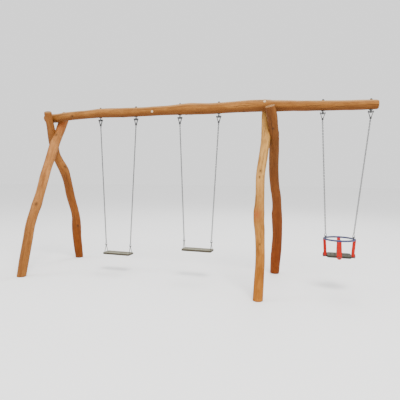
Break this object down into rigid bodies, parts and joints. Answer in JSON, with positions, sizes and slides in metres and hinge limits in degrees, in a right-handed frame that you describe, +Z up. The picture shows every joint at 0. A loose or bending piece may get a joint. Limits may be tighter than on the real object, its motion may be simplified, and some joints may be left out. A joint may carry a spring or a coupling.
{
  "type": "swing set",
  "caption": "Log-framed swing set: a natural beam on crossed log legs carries flat rubber seats and a toddler cradle with a ring on chains.",
  "frame": {"origin": "on the ground under the middle of the beam, midway between the front and the back feet", "axes": "+X along the beam towards the cradle, +Y to the back, +Z up"},
  "size_m": [5.041, 1.6478, 2.6244],
  "materials": {
    "oiled_log": "oiled, weathered",
    "pale_wood": "cut end grain",
    "galvanised_steel": "hot-dip galvanised",
    "dark_steel": "powder coated",
    "nylon_bush": "matt",
    "seat_rubber": "matt, dusty top",
    "core_aluminium": "mill",
    "blue_sleeve": "satin",
    "red_plastic": "satin moulded",
    "cradle_rubber": "matt, textured"
  },
  "bodies": {
    "frame": {"beam": "oiled_log", "left_back_leg": "oiled_log", "left_front_leg": "oiled_log", "right_back_leg": "oiled_log", "right_front_leg": "oiled_log", "crossing_rods": "galvanised_steel", "crossing_washers": "galvanised_steel", "crossing_nuts": "galvanised_steel", "crossing_plugs": "oiled_log", "leg_screws": "galvanised_steel", "leg_screw_washers": "galvanised_steel", "pale_plugs": "pale_wood", "hanger_eyebolts": "galvanised_steel", "hanger_bushes": "nylon_bush", "hanger_plates": "galvanised_steel", "hanger_washers": "galvanised_steel", "hanger_nuts": "galvanised_steel"},
    "left_swing": {"left_swing_straps": "galvanised_steel", "left_swing_pins": "galvanised_steel", "left_swing_top_shackles": "galvanised_steel", "left_swing_left_chain": "galvanised_steel", "left_swing_right_chain": "galvanised_steel", "left_swing_low_shackles": "galvanised_steel"},
    "middle_swing": {"middle_swing_straps": "galvanised_steel", "middle_swing_pins": "galvanised_steel", "middle_swing_top_shackles": "galvanised_steel", "middle_swing_left_chain": "galvanised_steel", "middle_swing_right_chain": "galvanised_steel", "middle_swing_low_shackles": "galvanised_steel"},
    "cradle_swing": {"cradle_swing_straps": "galvanised_steel", "cradle_swing_pins": "galvanised_steel", "cradle_swing_top_shackles": "galvanised_steel", "cradle_swing_left_chain": "galvanised_steel", "cradle_swing_right_chain": "galvanised_steel", "cradle_swing_low_shackles": "galvanised_steel"},
    "left_seat": {"left_seat_rubber": "seat_rubber", "left_seat_core": "core_aluminium", "left_seat_stirrups": "galvanised_steel", "left_seat_nuts": "galvanised_steel"},
    "middle_seat": {"middle_seat_rubber": "seat_rubber", "middle_seat_core": "core_aluminium", "middle_seat_stirrups": "galvanised_steel", "middle_seat_nuts": "galvanised_steel"},
    "cradle": {"cradle_ring": "blue_sleeve", "cradle_ring_core": "galvanised_steel", "cradle_brackets": "dark_steel", "cradle_left_strut": "red_plastic", "cradle_right_strut": "red_plastic", "cradle_front_strut": "red_plastic", "cradle_back_strut": "red_plastic", "cradle_seat": "cradle_rubber", "cradle_seat_core": "core_aluminium", "cradle_carrier": "dark_steel", "cradle_screws": "galvanised_steel"}
  },
  "joints": [
    {"name": "left_swing_hinge", "type": "hinge", "parent": "frame", "child": "left_swing", "pos_m": [-1.193, 0, 2.38], "axis": [1, 0, 0], "range_deg": [-60, 60]},
    {"name": "middle_swing_hinge", "type": "hinge", "parent": "frame", "child": "middle_swing", "pos_m": [0.118, 0, 2.38], "axis": [1, 0, 0], "range_deg": [-60, 60]},
    {"name": "cradle_swing_hinge", "type": "hinge", "parent": "frame", "child": "cradle_swing", "pos_m": [2.13, 0, 2.38], "axis": [1, 0, 0], "range_deg": [-60, 60]},
    {"name": "left_seat_tilt", "type": "hinge", "parent": "left_swing", "child": "left_seat", "pos_m": [-1.193, 0, 0.418], "axis": [1, 0, 0], "range_deg": [-35, 35]},
    {"name": "middle_seat_tilt", "type": "hinge", "parent": "middle_swing", "child": "middle_seat", "pos_m": [0.118, 0, 0.558], "axis": [1, 0, 0], "range_deg": [-35, 35]},
    {"name": "cradle_tilt", "type": "hinge", "parent": "cradle_swing", "child": "cradle", "pos_m": [2.096, 0, 0.744], "axis": [1, 0, 0], "range_deg": [-25, 25]}
  ]
}
